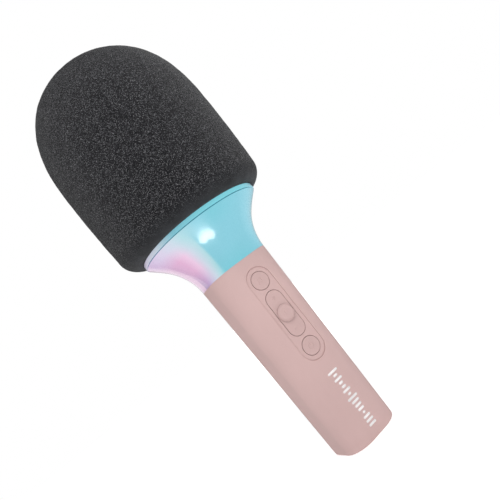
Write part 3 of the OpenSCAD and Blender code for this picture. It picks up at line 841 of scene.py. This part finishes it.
def bar(x, y, length, width, degrees=0.0, steps=6):
    """Outline of a round-ended stroke."""
    turn = math.radians(degrees)
    places = []
    for end in (0, 1):
        for step in range(steps + 1):
            angle = math.pi * (end + step / steps) - math.pi / 2
            a = (length - width) / 2 * (1 - 2 * end) + width / 2 * math.cos(angle)
            b = width / 2 * math.sin(angle)
            across = x + a * math.cos(turn) - b * math.sin(turn)
            places.append((across, y + a * math.sin(turn) + b * math.cos(turn)))
    return places


def bow(radius, width, start, end):
    """Outline of an arc-shaped stroke between two angles in degrees."""
    turns = arc_steps(28, start, end)
    return arc(radius + width / 2, turns) + arc(radius - width / 2, turns[::-1])


def triangle(size, corner_radius):
    """Outline of a play mark with softened corners."""
    places = []
    for middle in (0, 120, 240):
        corner = arc(size, [math.radians(middle)])[0]
        places += arc(corner_radius, arc_steps(4, middle - 50, middle + 50), *corner)
    return places


ROCKER_FOOT = 2.6       # depth of the rocker's underside
ROCKER_FLAT = 2.3       # the rows of a round key's top that lie further in than this are left out
PLAY_HOLE = 2.2         # radius of the hole that the play disc's stem goes through
VOLUME_PITCH = 9.2
HINGE_DEPTH = 3.4
TRUNNION_RADIUS = 0.6
TRUNNION_ENDS = (4.4, 7.2)
HUB_X = 3.6
HUB_HALF_X = 1.1
HUB_HALF_Y = 3.2
HUB_FOOT = 3.95
UNDERCUT = 2.4          # depth at which the hub and the stems start, inside the rocker


def make_rocker(material):
    """The long volume key, with a rounded edge, a hub, trunnions and stems."""
    skin = Skin()
    levels = key_stack([(0.0, ROCKER_FOOT)], crown=0.0)
    levels = [level for level in levels if level[0] > -ROCKER_FLAT]
    outer = face_rows(lambda offset: stadium(KEY_RADIUS, ROCKER_HALF_LENGTH, 132, offset), levels)
    top, bottom = skin.stack(outer)
    hole = face_rows(lambda radius: circle(radius, 40), [(PLAY_HOLE, KEY_TOP), (PLAY_HOLE, ROCKER_FOOT)])
    hole_top, hole_bottom = skin.stack(hole)
    skin.fill(top, hole_top)
    skin.fill(bottom, hole_bottom)
    for side in (-1, 1):
        corners = ((-1, -1), (1, -1), (1, 1), (-1, 1))
        hub = [(side * HUB_X + x * HUB_HALF_X, y * HUB_HALF_Y) for x, y in corners]
        skin.prism(hub, UNDERCUT, HUB_FOOT)
        skin.prism(circle(STEM_RADIUS, 24, side * VOLUME_PITCH), UNDERCUT, STEM_DEPTH)
        pin = [
            (TRUNNION_RADIUS * math.sin(turn), HINGE_DEPTH - TRUNNION_RADIUS * math.cos(turn))
            for turn in whole_turn(16)
        ]
        trunnion = [[on_face(side * x, y, depth) for y, depth in pin] for x in TRUNNION_ENDS]
        for end in skin.stack(trunnion):
            skin.faces.append(tuple(end))
    for y, degrees in ((VOLUME_PITCH, 0), (VOLUME_PITCH, 90), (-VOLUME_PITCH, 0)):
        raise_icon(skin, bar(0, y, 2.6, 0.6, degrees), KEY_TOP)
    cap = skin.piece("volume_key_cap", material, "volume_key", "volume_rocker", "key_pink")
    return even_normals(cap)


PLAY_RISE = 1.35        # height of the disc's flat top above the handle's front
PLAY_FLAT = 2.8         # radius of that top
PLAY_TOP_RADIUS = 3.5   # where the rounded shoulder, a tenth lower, turns into the sloping side
PLAY_SHOULDER = 0.1
PLAY_SIDE_END = 0.05    # height above the foot at which the sloping side ends
PLAY_CROWN = 0.01       # rise of its very middle
PLAY_STEM = 1.8
PLAY_FOOT = -0.04       # depth of the disc's foot at its left and right
FOOT_ARCH = 0.17


def make_play(material):
    """The raised disc in the middle of the rocker, with its stem.

    Its foot arches at the head and base sides, where the rocker's top comes up as it rocks."""
    skin = Skin()
    rows = [(0.8, -PLAY_RISE - PLAY_CROWN), (2.0, -PLAY_RISE - PLAY_CROWN), (PLAY_FLAT, -PLAY_RISE)]
    for share in (0.25, 0.5, 0.75, 1.0):
        reach = PLAY_FLAT + (PLAY_TOP_RADIUS - PLAY_FLAT) * share
        rows.append((reach, PLAY_SHOULDER * share * share - PLAY_RISE))
    shoulder = PLAY_SHOULDER - PLAY_RISE
    for share in (0.2, 0.4, 0.6, 0.8, 1.0):
        reach = PLAY_TOP_RADIUS + (PLAY_RADIUS - PLAY_TOP_RADIUS) * share
        rows.append((reach, shoulder + (PLAY_FOOT - PLAY_SIDE_END - shoulder) * share ** 1.2))
    rows += [(PLAY_RADIUS - 0.06, PLAY_FOOT), (PLAY_RADIUS - 0.5, PLAY_FOOT)]
    rows += [(PLAY_STEM, PLAY_FOOT - 0.1), (PLAY_STEM, STEM_DEPTH)]

    def arch(y, depth):
        return FOOT_ARCH * abs(y) / PLAY_RADIUS * max(0.0, 1 - abs(depth - PLAY_FOOT) / 0.5)

    top, bottom = skin.stack(
        [[on_face(x, y, depth - arch(y, depth)) for x, y in circle(radius, 72)] for radius, depth in rows]
    )
    skin.fan(top, on_face(0, 0, -PLAY_RISE - PLAY_CROWN))
    skin.fan(bottom, on_face(0, 0, STEM_DEPTH))
    raise_icon(skin, triangle(1.05, 0.25), PLAY_CROWN - PLAY_RISE, x=-0.1)
    return even_normals(skin.piece("play_key_cap", material, "play_key", "play_button", "key_pink"))


# ---- printed wave

WAVE_BARS = 15
WAVE_LOW = 6.2
WAVE_HIGH = 37.0
WAVE_WIDTH = 6.6
BAR_WIDTH = 1.15
PRINT_THICKNESS = 0.03


def make_wave_print(material):
    """A printed row of sound-wave bars on the lower front."""
    skin = Skin()
    for k in range(WAVE_BARS):
        height = WAVE_LOW + (WAVE_HIGH - WAVE_LOW) * k / (WAVE_BARS - 1)
        swell = abs(math.sin(0.55 + 1.9 * k) * math.cos(0.2 + 0.43 * k)) ** 0.7
        length = BAR_WIDTH + 0.4 + (WAVE_WIDTH - BAR_WIDTH - 0.4) * swell
        places = bar(0.0, (height - PANEL_HEIGHT) / math.cos(TAPER), length, BAR_WIDTH, steps=8)
        skin.prism(places, 0.05, -PRINT_THICKNESS)
    return skin.piece("handle_wave_print", material, "handle")


# ---- collar and ring

COLLAR_ROWS = 56
COLLAR_COLUMNS = 240
PLUG_LOW = 101.45
PLUG_LIP = 103.4
PLUG_INSET = WALL + 0.12
PLUG_BORE = 12.2
RING_BORE = 33.0
RING_FOOT_EDGE = 0.12
RING_TOP_EDGE = 0.3


def square_reach(half, radius, angle):
    """How far a rounded square reaches from its centre in one direction."""
    c, s = sorted((abs(math.cos(angle)), abs(math.sin(angle))), reverse=True)
    flat = half - radius
    if half * s / c <= flat:
        return half / c
    along = flat * (c + s)
    return along + math.sqrt(max(0.0, along * along - 2 * flat * flat + radius * radius))


def square_ring(half, share, z):
    """A rounded square at height z, its points evenly spaced in angle."""
    angles = whole_turn(COLLAR_COLUMNS)
    reach = np.array([square_reach(half, half * share, angle) for angle in angles])
    return ring_points(reach, z, angles)


def make_collar(material):
    """The flared diffuser, from the handle's rounded square to the ring's circle, with its plug."""
    skin = Skin()
    heights = np.linspace(SLEEVE_TOP, RING_LOW - SEAM_GAP, COLLAR_ROWS)
    rows = [square_ring(flare_at(z), share_at(z), z) for z in heights]
    rows += [square_ring(RING_RADIUS - SEAM_DEPTH, 1.0, z) for z in (RING_LOW - SEAM_GAP, RING_LOW)]
    rows.append(square_ring(RING_RADIUS - COLLAR_WALL, 1.0, RING_LOW))
    rows += [square_ring(flare_at(z) - COLLAR_WALL, share_at(z), z) for z in heights[:4:-2]]
    plug_half = half_at(PLUG_LIP) - PLUG_INSET
    rows += [
        square_ring(plug_half - 1.8, CORNER_SHARE, PLUG_LIP),
        square_ring(PLUG_BORE, 1.0, PLUG_LIP - 0.4),
        square_ring(PLUG_BORE, 1.0, PLUG_LOW),
        square_ring(half_at(PLUG_LOW) - PLUG_INSET, CORNER_SHARE, PLUG_LOW),
        square_ring(half_at(SLEEVE_TOP) - PLUG_INSET, CORNER_SHARE, SLEEVE_TOP),
    ]
    first, last = skin.stack(rows)
    skin.bridge(last, first)
    return even_normals(
        skin.piece("collar_diffuser", material, "handle", "light_collar", "collar_diffuser")
    )


def turned(skin, outline, steps):
    """Rings round the axis, from radius and height. Returns the first and the last."""
    return skin.stack([ring_points(radius, height, whole_turn(steps)) for radius, height in outline])


def make_ring(material):
    """The trim ring on the collar's rim, with rounded edges."""
    skin = Skin()
    outline = [(RING_BORE, RING_LOW)]
    outline += [(RING_RADIUS - across, RING_LOW + up) for across, up in rounding(RING_FOOT_EDGE, 3)]
    outline += [(RING_RADIUS - across, RING_TOP - down) for down, across in rounding(RING_TOP_EDGE, 4)]
    outline.append((RING_BORE, RING_TOP))
    first, last = turned(skin, outline, 192)
    skin.bridge(last, first)
    return even_normals(skin.piece("collar_trim_ring", material, "handle", "collar_ring", "ring_diffuser"))


# ---- windscreen

FOAM_COLUMNS = 384
FOAM_PITCH = 0.78       # distance between rows of the outer skin
GRAIN = 0.06            # height of the foam's grain
LUMP = 0.13             # height of its slower unevenness
LUMP_PITCH = 5.5        # distance over which that unevenness changes
FOOT_TUCK = 1.5         # how much narrower the foam is at its foot than at the widest
CROWN_GAP = 0.6         # between the cage's top and the end of the bore
GRAIN_STARTS = 6.0      # height above the foot by which the grain is at its full height
GRAIN_ENDS = 30         # radius within which it fades, because the columns crowd together


def dome_outline(radius, height, steps):
    """A squarish dome from its foot to the axis, as radius and height."""
    power = 2 / DOME_POWER
    return [
        (radius * math.cos(angle) ** power, DOME_BASE + height * math.sin(angle) ** power)
        for angle in arc_steps(steps)
    ]


def foam_outline():
    """The windscreen's outer outline, from its bore round the foot and up to the top."""
    foot_reach = FOAM_RADIUS - FOOT_TUCK
    foot = foot_reach - FOAM_BORE
    start = FOAM_LOW + foot
    places = arc(foot, arc_steps(40, -90, 0), FOAM_BORE, start)
    for rise in np.linspace(0, 1, 40)[1:-1]:
        places.append((foot_reach + FOOT_TUCK * rise * (2 - rise), start + (DOME_BASE - start) * rise))
    return np.array(places + dome_outline(FOAM_RADIUS, FOAM_TOP - DOME_BASE, 160))


def even_places(places, pitch):
    """The same outline with its places pitch apart."""
    gaps = np.linalg.norm(np.diff(places, axis=0), axis=1)
    run = np.concatenate([[0], np.cumsum(gaps)])
    marks = np.linspace(0, run[-1], int(run[-1] / pitch) + 1)
    return np.column_stack([np.interp(marks, run, places[:, k]) for k in (0, 1)])


def make_windscreen(material):
    """The foam windscreen: a grainy outer skin and a plain bore for the cage."""
    skin = Skin()
    places = even_places(foam_outline(), FOAM_PITCH)
    spread = np.random.default_rng(11)
    slope = np.gradient(places, axis=0)
    slope /= np.linalg.norm(slope, axis=1)[:, None]
    outward = np.column_stack([slope[:, 1], -slope[:, 0]])
    angles = whole_turn(FOAM_COLUMNS)
    rows = []
    for k, (radius, height) in enumerate(places[:-1]):
        edge = min(1.0, (height - FOAM_LOW) / GRAIN_STARTS)
        tight = min(1.0, radius / GRAIN_ENDS)
        grain = GRAIN * (0.15 + 0.85 * edge) * tight
        points = ring_points(radius, height, angles)
        lumps = np.array([noise.noise(Vector(point) / LUMP_PITCH) for point in points])
        rise = spread.uniform(-1, 1, FOAM_COLUMNS) * grain + LUMP * edge * lumps
        if k == 0:
            rise[:] = 0
        rows.append(points + ring_points(*outward[k], angles) * rise[:, None])
    first, last = skin.stack(rows)
    skin.fan(last, (0, 0, places[-1][1]))
    inside = [(FOAM_BORE, FOAM_LOW + rise) for rise in (8.0, 20.0, 36.0)]
    inside += dome_outline(FOAM_BORE, CAGE_TOP + CROWN_GAP - DOME_BASE, 24)[:-1]
    low, high = turned(skin, inside, FOAM_COLUMNS)
    skin.bridge(first, low)
    skin.fan(high, (0, 0, CAGE_TOP + CROWN_GAP))
    cover = skin.piece(
        "windscreen_foam_cover", material, "windscreen", "foam_windscreen", "windscreen_foam"
    )
    return cover


# ---- floor, world and lights

def make_floor():
    """A pale floor that glows more with distance, and so fades into the background."""
    paint = Paint("floor_white", Roughness=0.9, Specular_IOR_Level=0.0, Emission_Color=(1, 1, 1, 1))
    paint.drive("Base Color", paint.ramp(paint.noise(60), (0.3, 0.86), (0.7, 0.9)))
    away = paint.node("ShaderNodeVectorMath", operation="LENGTH")
    paint.link(paint.place, away.inputs[0])
    paint.drive("Emission Strength", paint.rescale(away.outputs["Value"], 0.1, 0.7, 0.5, 1.0))
    bpy.ops.mesh.primitive_circle_add(vertices=96, radius=6, fill_type="NGON", location=(0, 0, -0.05 * MM))
    floor = bpy.context.object
    floor.name = "floor"
    floor.data.materials.append(paint.material)
    floor.visible_glossy = False


WORLD_LIGHT = 0.36
WORLD_GLOSS = 0.3


def make_world():
    """White to the camera, and softer whites as a light and as what glossy surfaces mirror."""
    world = bpy.data.worlds.new("studio")
    bpy.context.scene.world = world
    world.use_nodes = True
    tree = world.node_tree
    ray = tree.nodes.new("ShaderNodeLightPath")
    shader = tree.nodes["Background"]
    backgrounds = [(shader, WORLD_LIGHT)]
    for output, strength in (("Is Glossy Ray", WORLD_GLOSS), ("Is Camera Ray", 1.0)):
        seen = tree.nodes.new("ShaderNodeBackground")
        backgrounds.append((seen, strength))
        pick = tree.nodes.new("ShaderNodeMixShader")
        sources = (ray.outputs[output], shader.outputs[0], seen.outputs[0])
        for source, socket in zip(sources, pick.inputs):
            tree.links.new(source, socket)
        shader = pick
    for node, strength in backgrounds:
        node.inputs["Color"].default_value = (1, 1, 1, 1)
        node.inputs["Strength"].default_value = strength
    tree.links.new(shader.outputs[0], tree.nodes["World Output"].inputs["Surface"])


def make_light(name, place, target, width, height, power, shape="ELLIPSE"):
    """A soft lamp at a place, turned to a target. Its power is in watts."""
    lamp = bpy.data.lights.new(name, "AREA")
    lamp.shape = shape
    lamp.size = width * MM
    lamp.size_y = height * MM
    lamp.energy = power
    made = added(name, lamp)
    towards = (Vector(target) - Vector(place)).normalized()
    side = towards.cross(Vector((0, 0, 1)))
    side = side.normalized() if side.length > 0.1 else Vector((1, 0, 0))
    turn = Matrix((side, side.cross(towards), -towards)).transposed().to_4x4()
    made.matrix_world = Matrix.Translation(Vector(place) * MM) @ turn
    return made


MIDDLE = (0, 0, 130)


def make_studio():
    make_floor()
    make_world()
    make_light("key", (-140, -355, 590), MIDDLE, 300, 300, 2.1)
    for name, place, power in (("fill", (620, -420, 300), 0.8), ("back", (380, 600, 500), 1.8)):
        make_light(name, place, MIDDLE, 500, 500, power).visible_glossy = False


# Lamps whose reflections are the bright spot on the collar's front: x, y, width and height
SPOT_LAMPS = [(-49, -68, 38, 38), (-15, -82, 38, 38), (-31, -68, 34, 26)]
SPOT_POWER = 0.03      # watts for each thousand square millimetres


def light_only(name, lamps, pieces):
    """Keeps lamps to a few pieces."""
    lit_pieces = bpy.data.collections.new(name)
    for piece in pieces:
        lit_pieces.objects.link(piece)
    for lamp in lamps:
        lamp.light_linking.receiver_collection = lit_pieces


def make_collar_lamps(collar):
    """Lamps that only the glossy collar mirrors: a spot in front and a pale edge on its left."""
    lamps = [
        make_light(f"spot_{k}", (x, y, 2), (x, y, 100), width, height, SPOT_POWER * width * height / 1000)
        for k, (x, y, width, height) in enumerate(SPOT_LAMPS)
    ]
    lamps.append(make_light("edge", (-50, 420, 75), (-50, 0, 75), 300, 100, 0.04, "RECTANGLE"))
    for lamp in lamps:
        lamp.visible_diffuse = False
    light_only("collar_lit", lamps, [collar])


def make_side_lamps(handle_pieces, foam):
    """A low lamp that fills the handle's shaded side, and a high one that rims the foam's other side."""
    low = make_light("handle_fill", (-300, -40, 10), (0, 0, 20), 160, 160, 0.15)
    low.visible_glossy = False
    light_only("handle_lit", [low], handle_pieces)
    rim = make_light("foam_rim", (560, 220, 480), (0, 0, 190), 300, 300, 2.2)
    light_only("foam_lit", [rim], [foam])


# ---- finishes of the CAD nodes

def dress(material, *nodes):
    """Gives carried-over CAD nodes a material."""
    for node in nodes:
        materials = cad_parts[node].data.materials
        materials.clear()
        materials.append(material)


def dress_inside():
    black = moulded("black_plastic", srgb(46, 47, 50))
    white = moulded("white_plastic", srgb(232, 232, 230), roughness=0.4)
    steel = metal("screw_steel", srgb(196, 198, 202))
    dress(soft_touch("base_pink", HANDLE_PINK), "base_cap")
    dress(black, "chassis", "key_frame", "baffle_plate", "mic_bridge", "mode_plunger",
          "volume_plungers", "play_plunger", "power_plunger", "amplifier_chip")
    dress(white, "neck_ring", "reflector_cone", "charge_light")
    dress(steel, "base_screws", "neck_screws", "board_screws", "baffle_screws")
    dress(metal("shield_steel", srgb(188, 190, 194), brushed=(20, 1, 1)), "switch_bodies",
          "radio_module", "charge_socket")
    dress(circuit_board("circuit_board", srgb(18, 92, 62), srgb(34, 128, 84)), "main_board", "charge_board")
    dress(circuit_board("led_circuit", srgb(226, 228, 226), srgb(204, 208, 206)), "led_board")
    dress(moulded("capacitor_can", srgb(58, 62, 84)), "capacitors")
    dress(shrink_wrap("cell_wrap", srgb(44, 108, 190)), "battery_cell")
    dress(rubber("pad_rubber", srgb(38, 38, 40)), "battery_pad", "speaker_gasket", "speaker_surround",
          "mic_isolator")
    dress(wire_cover("lead_red", srgb(190, 36, 34)), "battery_leads", "speaker_leads")
    dress(wire_cover("lead_green", srgb(52, 128, 66)), "led_leads")
    dress(wire_cover("lead_blue", srgb(52, 78, 178)), "mic_leads")
    dress(moulded("led_package", srgb(240, 232, 180), roughness=0.3), "leds")
    dress(metal("speaker_metal", srgb(118, 120, 124)), "speaker_frame")
    dress(metal("magnet_steel", srgb(150, 152, 156)), "speaker_magnet")
    dress(paper_cone("cone_paper", srgb(54, 54, 56)), "speaker_cone", "dust_cap")
    dress(wound_copper("coil_copper"), "voice_coil")
    dress(moulded("cage_plastic", srgb(92, 94, 98), roughness=0.5), "head_cage")
    dress(metal("capsule_metal", srgb(206, 204, 198), brushed=(1, 1, 12)), "mic_capsule")


# ---- the object

HANDLE_PINK = srgb(199, 168, 165)

bpy.context.scene.view_settings.view_transform = "Standard"
make_camera()
make_studio()

pink = soft_touch("handle_pink", HANDLE_PINK)
key_pink = soft_touch("key_pink", shaded(HANDLE_PINK, 0.96))
shell = make_sleeve(pink)
note = [bar(-0.95, 0.15, 2.3, 0.36, 90), bar(0.95, 0.15, 2.3, 0.36, 90), bar(0, 1.2, 2.3, 0.5)]
note += [arc(0.52, whole_turn(20), x, -1.0) for x in (-1.25, 0.65)]
power = [bow(1.45, 0.38, 120, 420), bar(0, 1.15, 1.9, 0.38, 90)]
keys = [
    make_key("mode_key_cap", "mode_key", "mode_button", KEY_PITCH, note, key_pink),
    make_key("power_key_cap", "power_key", "power_button", -KEY_PITCH, power, key_pink),
    make_rocker(key_pink),
    make_play(key_pink),
]
make_wave_print(moulded("print_white", srgb(244, 240, 240), roughness=0.5, grain=0.004))
collar = make_collar(collar_diffuser("collar_diffuser"))
make_ring(ring_diffuser("ring_diffuser"))
foam = make_windscreen(open_cell_foam("windscreen_foam"))
make_collar_lamps(collar)
make_side_lamps([shell, *keys], foam)
dress_inside()
